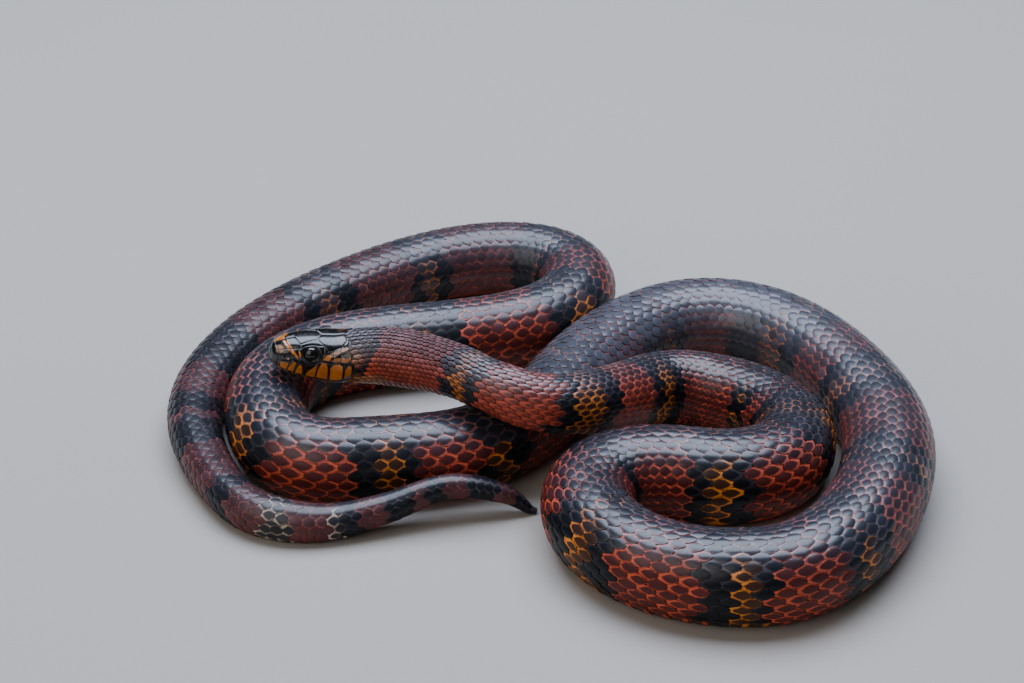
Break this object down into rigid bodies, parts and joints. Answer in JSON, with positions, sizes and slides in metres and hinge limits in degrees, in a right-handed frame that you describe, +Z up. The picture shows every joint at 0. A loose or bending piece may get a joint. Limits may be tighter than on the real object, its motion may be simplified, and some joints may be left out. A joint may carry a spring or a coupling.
{
  "type": "milk snake model",
  "caption": "Still, life-size milk snake lying in flat S-shaped coils, its head and neck raised over its own body, with dark banded scales.",
  "frame": {"origin": "on the floor under the middle of the box round the coils", "axes": "+X along the longer side of the coils, to the right as the picture sees them; +Y away from the viewer; +Z up"},
  "size_m": [0.2252, 0.2106, 0.0406],
  "materials": {
    "head_shields": "glossy horny shields, near black",
    "red_scales": "smooth satin scales, dusky red",
    "slate_scales": "smooth satin scales, slate black",
    "eye": "wet, near black"
  },
  "bodies": {
    "root": {"head": "head_shields", "eye_left": "eye", "eye_right": "eye", "neck": "red_scales", "body_01": "slate_scales", "body_02": "red_scales", "body_03": "slate_scales", "body_04": "red_scales", "body_05": "slate_scales", "body_06": "red_scales", "body_07": "slate_scales", "body_08": "red_scales", "body_09": "slate_scales", "body_10": "red_scales", "tail": "red_scales"}
  },
  "joints": []
}
